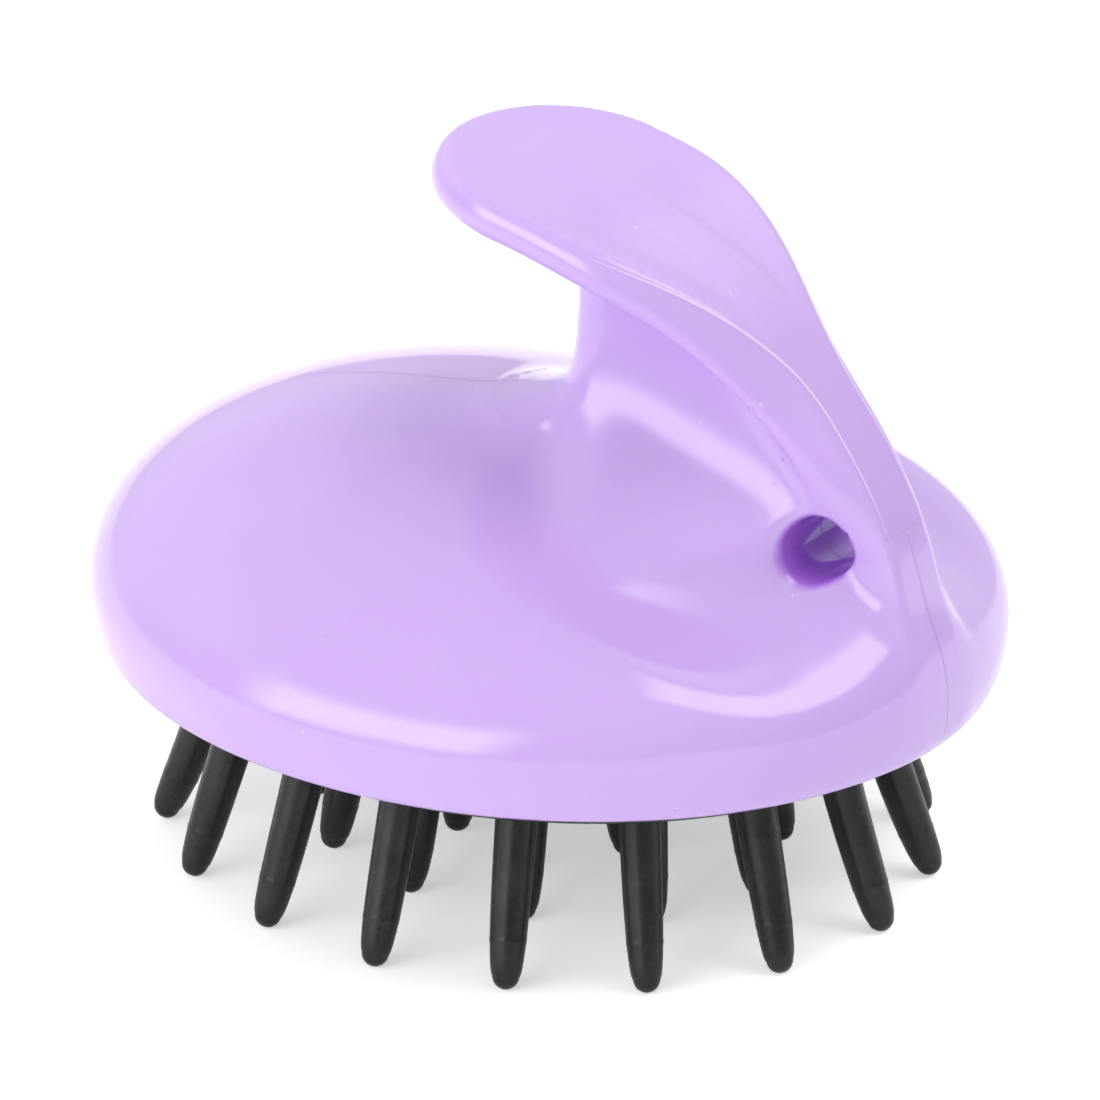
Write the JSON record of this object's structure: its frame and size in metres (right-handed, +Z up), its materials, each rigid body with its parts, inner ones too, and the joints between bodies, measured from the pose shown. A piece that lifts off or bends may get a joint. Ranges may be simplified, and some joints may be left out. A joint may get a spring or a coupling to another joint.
{
  "type": "curry comb",
  "caption": "Hand-held oval curry comb: a glossy domed shell with a curved thumb handle over a soft rubber pad of splayed grooming fingers.",
  "frame": {"origin": "centre of the plane that the fingertips rest on, in the plane of symmetry", "axes": "+Z up out of the fingertip plane, +Y towards the tip of the handle's thumb tongue, X across the comb"},
  "size_m": [0.0822, 0.092, 0.0721],
  "materials": {
    "lilac_shell": "high gloss, faintly translucent moulded plastic",
    "black_rubber": "satin rubber with a light dusty bloom",
    "grey_plate": "matte moulded plastic"
  },
  "bodies": {
    "root": {"handle_shell": "lilac_shell", "finger_pad": "black_rubber", "carrier_plate": "grey_plate"}
  },
  "joints": []
}
